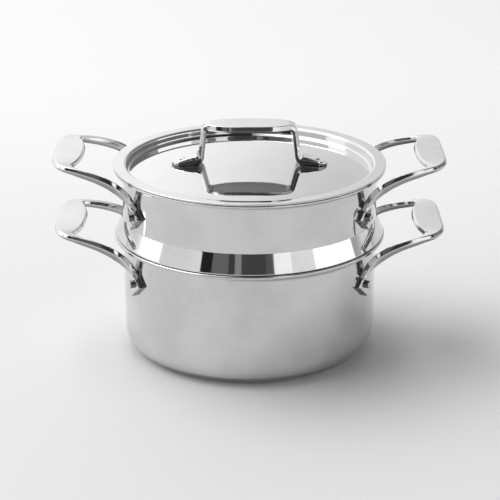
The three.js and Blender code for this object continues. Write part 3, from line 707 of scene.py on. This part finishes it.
def loopSurface():
    # point (i, j): station i of the two edges, share j across them turned about the axis, and depth j below
    # the top side
    outer, inner, sizes = halfLoop()
    flip = np.array([1, -1, 1])
    outer = np.vstack([(outer * flip)[:0:-1], outer])
    inner = np.vstack([(inner * flip)[:0:-1], inner])
    sizes = np.vstack([sizes[:0:-1], sizes])
    at = np.linspace(0, 1, loop["sections"])
    outer, inner = throughPoints(outer, at), throughPoints(inner, at)
    stations = np.linspace(0, 1, len(sizes))
    sizes = np.column_stack([np.interp(at, stations, column) for column in sizes.T])
    thickOuter, thickInner = sizes[:, 0], sizes[:, 1]
    along = unit(unit(np.gradient(outer, axis=0)) + unit(np.gradient(inner, axis=0)))
    downward = unit(np.cross(inner - outer, along))
    width = np.linalg.norm(inner - outer, axis=1)
    across, down = ridgedSection(width, (thickOuter + thickInner) / 2, sizes[:, 3:9])
    # painted shade: below the ridge, and on a foot's ground cut end, the darker ground colour stands in for
    # shade
    beneath = belowRidge(down, sizes[:, 5:6]) * sizes[:, 2:3]
    groundAndShade = np.where(down < loop["cutDepth"], np.maximum(beneath, sizes[:, 9:]), beneath)
    radius = [np.hypot(edge[:, 0], edge[:, 1])[:, None] for edge in (outer, inner)]
    angle = [np.arctan2(edge[:, 1], edge[:, 0])[:, None] for edge in (outer, inner)]
    r = radius[0] + (radius[1] - radius[0]) * across
    a = angle[0] + (angle[1] - angle[0]) * across
    z = outer[:, 2:] + (inner[:, 2:] - outer[:, 2:]) * across
    depth = down * (thickOuter[:, None] + (thickInner - thickOuter)[:, None] * across)
    sections = np.stack([r * np.cos(a), r * np.sin(a), z], axis=-1)
    sections = sections + depth[..., None] * downward[:, None, :]
    return endedStrap(sections, along, loop["endRound"], groundAndShade)


rivet = {
    "shank": 2.4, "headRadius": 3.1, "headHeight": 3.5, "crown": 0.5, "headEdge": 0.45,
    "crownLead": (1.5, 0.2),  # way from the head's edge to its crown, in and up, in roundings of the edge
    "innerRadius": 5.0, "innerHeight": 1.4, "innerEdge": 0.8, "innerSeat": 0.2, "innerGap": 0.6,
    "seatDepth": 3.2, "lidFromTip": 9.3, "lidSeat": 3.5, "lidHeadHeight": 1.5,
    "flankMargin": 0.05, "segments": 48, "crownSteps": 8,
}


def rivetSurface(origin, axis, gripStart, gripEnd, headHeight):
    # a turned outline along an axis, as distances from the origin: flat head, shank, and round head with a
    # low crown; the flank of the round head is ground, and painted darker as shade
    radius, crown, edge = rivet["headRadius"], rivet["crown"], rivet["headEdge"]
    top = gripEnd + headHeight
    domeRadius = (radius ** 2 + crown ** 2) / (2 * crown)
    domeEdge = math.degrees(math.acos((radius - edge) / domeRadius))
    sides = roundedOutline([
        (0, gripStart - rivet["innerHeight"], 0),
        (rivet["innerRadius"], gripStart - rivet["innerHeight"], rivet["innerEdge"]),
        (rivet["innerRadius"], gripStart, rivet["innerSeat"]),
        (rivet["shank"], gripStart, 0),
        (rivet["shank"], gripEnd, 0),
        (radius, gripEnd, 0),
        (radius, top - crown, edge),
        (radius - rivet["crownLead"][0] * edge, top - crown + rivet["crownLead"][1] * edge, 0),
    ])
    dome = arc((0, top - domeRadius), domeRadius, domeEdge, 90, rivet["crownSteps"])
    outline = np.vstack([sides[:-1], dome[1:]])
    points, quads, triangles = turnedSolid(outline, rivet["segments"])
    reach = np.hypot(points[:, 0], points[:, 1])
    flank = (reach > radius - rivet["flankMargin"]) & (points[:, 2] < top - crown)
    side = unit(np.cross(axis, up if abs(axis[2]) < 0.5 else np.array([0, 1.0, 0])))
    basis = np.array([side, np.cross(axis, side), axis])
    return points @ basis + origin, quads, triangles, flank.astype(float)


def makeHandlePair(name, rim, wallInner):
    points, quads, triangles, groundAndShade = loopSurface()
    grip = (wallInner - rivet["innerGap"], shell["wallRadius"] + 2 * shell["seatGap"] + rivet["seatDepth"],
            rivet["headHeight"])
    footAngle = loop["footArc"] / shell["wallRadius"]
    level = np.array([0, 0, rim - loop["footDrop"]])
    for side, way in (("right", 1), ("left", -1)):
        placed = points * np.array([way, way, 1]) + up * rim
        piece = putMesh(name + "Handle" + side.title(), placed, quads, triangles, groundAndShade)
        dress(piece, steel["handleSteel"], name, name + "_handle_" + side)
        for end, turn in (("front", -footAngle), ("back", footAngle)):
            axis = np.array([way * math.cos(turn), math.sin(turn), 0])
            piece = putMesh(name + "Rivet" + side.title() + end.title(), *rivetSurface(level, axis, *grip))
            dress(piece, steel["rivetSteel"], name, "_".join([name, "rivet", side, end]))


makeHandlePair("pot", pot["height"], shell["wallRadius"] - pot["sheet"])
makeHandlePair("insert", insert["rim"], shell["wallRadius"] - insert["sheet"])
print("loop handles and rivets lofted")

strap = {
    "rise": 32.0, "halfLength": 39.6, "splay": 2.4, "thickness": 4.8, "cornerRadius": 8.0,
    "innerBend": 3.2, "heelBend": 4.8, "footHalfLength": 63.0, "footHeel": 6.5, "footTip": 2.4,
    "tipLength": 7.0, "endRound": 0.5, "steps": 16, "widthSteps": 400,
    "innerHeel": (0.5, 0.2),  # where the leg's inside ends: shares of its lean and of the heel's bend
    "heelIn": 0.3, "heelOut": 1.5,
    "tipEnd": 0.985,  # share of the tip's half ellipse that is built
    "legLead": 0.1,  # how far before the half length the leg's section is reached
    "formMost": 0.45,  # largest share of the half width for a set-back or a rounding
    # half width of the bar at shares of its half length, of the leg, and of the foot
    "barWidths": [(0, 13.9), (0.25, 13.8), (0.47, 13.2), (0.68, 10.8), (0.86, 7.9)], "legHalfWidth": 7.4,
    "footHalfWidth": 7.4,
    # sections, in the loop's columns
    "barForm": (0.9, 0.5, 0.8, 0.6, 0.4, 0.4), "legForm": (1.1, 0.8, 0.5, 0.7, 0.4, 0.6),
    "footForm": (0.7, 0.2, 0.3, 0.6, 0.4, 0.2),
}


def bowed(start, middle, end, share):
    # (1 - s)^2 start + 2 s (1 - s) middle + s^2 end
    return (1 - share) ** 2 * start + 2 * share * (1 - share) * middle + share ** 2 * end


def strapEdges():
    # upper and lower edges of the strap's right half, from the middle of its bar to the tip of its foot
    top = lid["crown"] + strap["rise"]
    half, thick, corner = strap["halfLength"], strap["thickness"], strap["cornerRadius"]
    splayed = half + strap["splay"]
    heel = panelTop(splayed) + strap["footHeel"]
    foot = strap["footHalfLength"]
    seat = shell["seatGap"]
    lean = strap["splay"] * strap["heelBend"] / (top - corner - heel)
    steps = strap["steps"]
    share = np.linspace(0, 1, steps + 1)[:, None]
    barEnd = half - corner
    bar = [share * [barEnd, 0] + [0, top], share * [barEnd, 0] + [0, top - thick]]
    inside = half - thick - strap["innerBend"]
    under = top - thick - strap["innerBend"]
    turn = [arc((barEnd, top - corner), corner, 90, 0, steps),
            arc((inside, under), strap["innerBend"], 90, 0, steps)]
    legEnd = np.array([splayed - lean, heel + strap["heelBend"]])
    legTop = np.array([half, top - corner])
    innerTop = np.array([half - thick, under])
    leanShare, bendShare = strap["innerHeel"]
    innerEnd = np.array([splayed - thick - lean * leanShare, heel + strap["heelBend"] * bendShare])
    leg = [legTop + share * (legEnd - legTop), innerTop + share * (innerEnd - innerTop)]
    footStart = np.array([splayed + strap["heelBend"], heel])
    bendTop = bowed(legEnd, np.array([splayed, heel]), footStart, share)
    heelIn = np.array([splayed - thick + strap["heelIn"], panelTop(splayed - thick) + seat])
    heelOut = np.array([splayed + strap["heelOut"], panelTop(splayed + strap["heelOut"]) + seat])
    bendLow = bowed(innerEnd, heelIn, heelOut, share)
    tip = np.array([foot, panelTop(foot) + seat + strap["footTip"]])
    share = np.sin(share * math.pi / 2)  # closer stations towards the tip
    footTop = footStart + share * (tip - footStart)
    reach = heelOut[0] + share[:, 0] * (foot - heelOut[0])
    footLow = np.column_stack([reach, panelTop(reach) + seat])
    upper = np.vstack([bar[0], turn[0][1:], leg[0][1:], bendTop[1:], footTop[1:]])
    lower = np.vstack([bar[1], turn[1][1:], leg[1][1:], bendLow[1:], footLow[1:]])
    return upper, lower


def strapHalfWidth(reach):
    # a bar that swells to the middle, narrow legs, and feet that end in half an ellipse
    foot, splayed = strap["footHalfLength"], strap["halfLength"] + strap["splay"]
    tipStart = foot - strap["tipLength"]
    bar = [(share * strap["halfLength"], width) for share, width in strap["barWidths"]]
    places = bar + [(splayed, strap["legHalfWidth"]), (tipStart, strap["footHalfWidth"]),
                    (foot, strap["footHalfWidth"])]
    plain = throughPoints(np.array(places), np.linspace(0, 1, strap["widthSteps"]))
    width = np.interp(reach, plain[:, 0], plain[:, 1])
    fade = np.clip((reach - tipStart) / strap["tipLength"], 0, strap["tipEnd"])
    return width * np.sqrt(1 - fade ** 2)


def makeStrap():
    upper, lower = strapEdges()
    upper = np.vstack([(upper * [-1, 1])[:0:-1], upper])
    lower = np.vstack([(lower * [-1, 1])[:0:-1], lower])
    path = (upper + lower) / 2
    half = strapHalfWidth(np.abs(path[:, 0]))
    thick = np.linalg.norm(upper - lower, axis=1)
    reach = np.abs(upper[:, 0])
    length = strap["halfLength"]
    splayed = length + strap["splay"]
    marks = [0, length - strap["cornerRadius"], length - strap["legLead"], splayed,
             splayed + strap["heelBend"]]
    forms = np.array([strap[name] for name in ("barForm", "barForm", "legForm", "legForm", "footForm")])
    form = np.column_stack([np.interp(reach, marks, column) for column in forms.T])
    lengths = [0, 1, 3, 4, 5]  # every column but the ridge's depth, which is a share
    form[:, lengths] = np.minimum(form[:, lengths], strap["formMost"] * half[:, None])
    across, down = ridgedSection(2 * half, thick, form)
    # painted shade: below the ridge the strap takes the darker ground colour along with its satin finish
    groundAndShade = belowRidge(down, form[:, 2:3])
    side = upper[:, None, :] + (lower - upper)[:, None, :] * down[..., None]
    y = half[:, None] * (2 * across - 1)
    sections = np.stack([side[..., 0], y, side[..., 1]], axis=-1)
    along = unit(np.gradient(path, axis=0))
    along = np.column_stack([along[:, 0], 0 * along[:, 0], along[:, 1]])
    piece = putMesh("lidStrap", *endedStrap(sections, along, strap["endRound"], groundAndShade))
    dress(piece, steel["handleSteel"], "lid", "lid_handle")
    tilt = math.asin((strap["footHalfLength"] - rivet["lidFromTip"]) / lid["domeRadius"])
    origin = np.array([0, 0, lid["domeCentre"]])
    grip = (lid["domeRadius"] - lid["sheet"] - shell["seatGap"],
            lid["domeRadius"] + 2 * shell["seatGap"] + rivet["lidSeat"], rivet["lidHeadHeight"])
    for sideName, way in (("left", -1), ("right", 1)):
        axis = np.array([way * math.sin(tilt), 0, math.cos(tilt)])
        piece = putMesh("lidRivet" + sideName.title(), *rivetSurface(origin, axis, *grip))
        dress(piece, steel["rivetSteel"], "lid", "lid_rivet_" + sideName)


makeStrap()
print("lid strap lofted")

# Floor, studio and camera
studio = {
    # painted light: the floor colour runs from darker at the front to paler at the back, standing in for the
    # light's falloff
    "floorHalf": 8.0, "floorNear": (0.8, 0.8, 0.802), "floorFar": (0.93, 0.93, 0.93),
    "floorFade": (-0.3, 0.9), "floorRoughness": 0.6, "floorSpecular": 0.2,
    "keyWay": (-0.46, 0.12, 0.88), "keyDistance": 5.0, "keySize": 5.0, "keyPower": 158.0,
    "target": (0, 0, 0.06),
    # brightness of the world's forms
    "overhead": 0.04, "overLeft": 0.14, "strip": 2.0, "horizon": 0.9, "backLeft": 1.27, "backRight": 0.8,
    "farRight": 0.25, "background": 0.97,
}
# Soft edges of the world's forms, by x, y or z of the way looked in, or by bearing as a share of the circle.
# A form with two edges rises over the first and falls over the second.
edges = {
    "highPanels": (0.305, 0.315),  # z
    "backSides": (-0.14, 0.14), "backRight": (0.22, 0.34),  # x
    "back": (0.25, 0.45),  # y
    "middle": ((-0.44, -0.36), (0.18, 0.34)),  # x, where the ceiling comes lower
    "right": ((0.47, 0.53), (0.76, 0.84)), "rightEnd": (-0.42, -0.36),  # x and y, and so on the right
    "lowCeiling": (0.37, 0.44), "ceiling": (0.72, 0.82),  # z
    "ceilingEnd": (0.12, 0.3),  # y
    "palerSide": (-0.1, 0.0), "palerHeight": (0.7, 0.76),  # x and z of the ceiling's paler part
    "stripSide": ((0.31, 0.317), (0.36, 0.367)), "stripHeight": ((0.44, 0.48), (0.62, 0.66)),  # bearing, z
    "horizon": (0.05, 0.11),  # z
}
camera = {
    "place": (0, -1.32295, 0.5742), "target": (0, 0, 0.07878), "lens": 122.25, "sensor": 36,
    "shiftX": 0.00094,
}


def makeFloor():
    half = studio["floorHalf"]
    mesh = bpy.data.meshes.new("floor")
    corners = [(-half, -half, 0), (half, -half, 0), (half, half, 0), (-half, half, 0)]
    mesh.from_pydata(corners, [], [(0, 1, 2, 3)])
    floor = linked("floor", mesh)
    material, tree, surface = newMaterial("paleFloor")
    surface.inputs["Roughness"].default_value = studio["floorRoughness"]
    surface.inputs["Specular IOR Level"].default_value = studio["floorSpecular"]
    # painted light: a darker near part and a paler far part of the floor stand in for how the light falls
    # off
    y = parted(tree, addNode(tree, "ShaderNodeTexCoord").outputs["Object"])[1]
    share = between(tree, y, *studio["floorFade"])
    near, far = (*studio["floorNear"], 1), (*studio["floorFar"], 1)
    tree.links.new(mixColor(tree, share, near, far), surface.inputs["Base Color"])
    mesh.materials.append(material)


def aimed(name, data, place, aim):
    made = linked(name, data)
    made.location = place
    made.rotation_euler = aim.to_track_quat("-Z", "Y").to_euler()
    return made


def makeLamp():
    lamp = bpy.data.lights.new("keyLamp", "AREA")
    lamp.shape = "DISK"
    lamp.size = studio["keySize"]
    lamp.energy = studio["keyPower"]
    way = Vector(studio["keyWay"]).normalized()
    aimed("keyLamp", lamp, Vector(studio["target"]) + way * studio["keyDistance"], -way)


# Brightness of the studio by bearing in degrees, with 0 behind the camera and 90 to the right
frontPanels = [(-180, 1.4), (-108, 1.7), (-82, 0.95), (-43, 0.02), (-33, 0.16), (-19, 0.06), (-14, 0.3),
               (-8, 0.07), (14, 0.12), (20, 1.3), (36, 1.0)]
highPanels = frontPanels + [(62, 0.25)]
lowPanels = frontPanels + [(57, 1.8), (98, 0.5)]


def grey(level):
    return (level, level, level, 1)


def falling(tree, value, edge):
    return between(tree, value, *edge, 1.0, 0.0)


def band(tree, value, rise, fall):
    return times(tree, between(tree, value, *rise), falling(tree, value, fall))


def panelRamp(tree, bearing, panels):
    ramp = addNode(tree, "ShaderNodeValToRGB", {0: bearing})
    ramp.color_ramp.interpolation = "CONSTANT"
    stops = ramp.color_ramp.elements
    stops.remove(stops[1])
    for i, (degrees, level) in enumerate(panels):
        place = degrees / 360 + 0.5
        stop = stops[0] if i == 0 else stops.new(place)
        stop.position = place
        stop.color = grey(level)
    return ramp.outputs[0]


def makeStudio():
    world = bpy.data.worlds.new("studio")
    scene.world = world
    world.use_nodes = True
    tree = world.node_tree
    light = tree.nodes["Background"]
    x, y, z = parted(tree, addNode(tree, "ShaderNodeTexCoord").outputs["Generated"])
    bearing = maths(tree, "ARCTAN2", x, times(tree, y, -1.0))
    bearing = maths(tree, "MULTIPLY_ADD", bearing, 1 / (2 * math.pi), 0.5)
    high, low = panelRamp(tree, bearing, highPanels), panelRamp(tree, bearing, lowPanels)
    front = mixColor(tree, between(tree, z, *edges["highPanels"]), low, high)
    level = between(tree, x, *edges["backSides"], studio["backLeft"], studio["backRight"])
    loss = 1 - studio["farRight"] / studio["backRight"]
    lost = times(tree, between(tree, x, *edges["backRight"]), loss)
    level = times(tree, level, maths(tree, "SUBTRACT", 1.0, lost))
    back = addNode(tree, "ShaderNodeCombineColor", {0: level, 1: level, 2: level}).outputs[0]
    around = mixColor(tree, between(tree, y, *edges["back"]), front, back)
    right = times(tree, band(tree, x, *edges["right"]), falling(tree, y, edges["rightEnd"]))
    lower = maths(tree, "MAXIMUM", band(tree, x, *edges["middle"]), right)
    lower = times(tree, between(tree, z, *edges["lowCeiling"]), lower)
    ceiling = maths(tree, "MAXIMUM", lower, between(tree, z, *edges["ceiling"]))
    ceiling = times(tree, ceiling, falling(tree, y, edges["ceilingEnd"]))
    paler = times(tree, falling(tree, x, edges["palerSide"]), falling(tree, z, edges["palerHeight"]))
    overhead = mixColor(tree, paler, grey(studio["overhead"]), grey(studio["overLeft"]))
    strip = band(tree, bearing, *edges["stripSide"])
    strip = times(tree, strip, band(tree, z, *edges["stripHeight"]))
    color = mixColor(tree, ceiling, around, overhead)
    color = mixColor(tree, strip, color, grey(studio["strip"]))
    color = mixColor(tree, between(tree, z, *edges["horizon"]), grey(studio["horizon"]), color)
    seen = addNode(tree, "ShaderNodeLightPath").outputs["Is Camera Ray"]
    tree.links.new(mixColor(tree, seen, color, grey(studio["background"])), light.inputs["Color"])


def makeCamera():
    lens = bpy.data.cameras.new("camera")
    lens.lens = camera["lens"]
    lens.sensor_width = camera["sensor"]
    lens.shift_x = camera["shiftX"]
    place = Vector(camera["place"])
    scene.camera = aimed("camera", lens, place, Vector(camera["target"]) - place)


makeFloor()
makeLamp()
makeStudio()
makeCamera()
print("floor, studio and camera set")
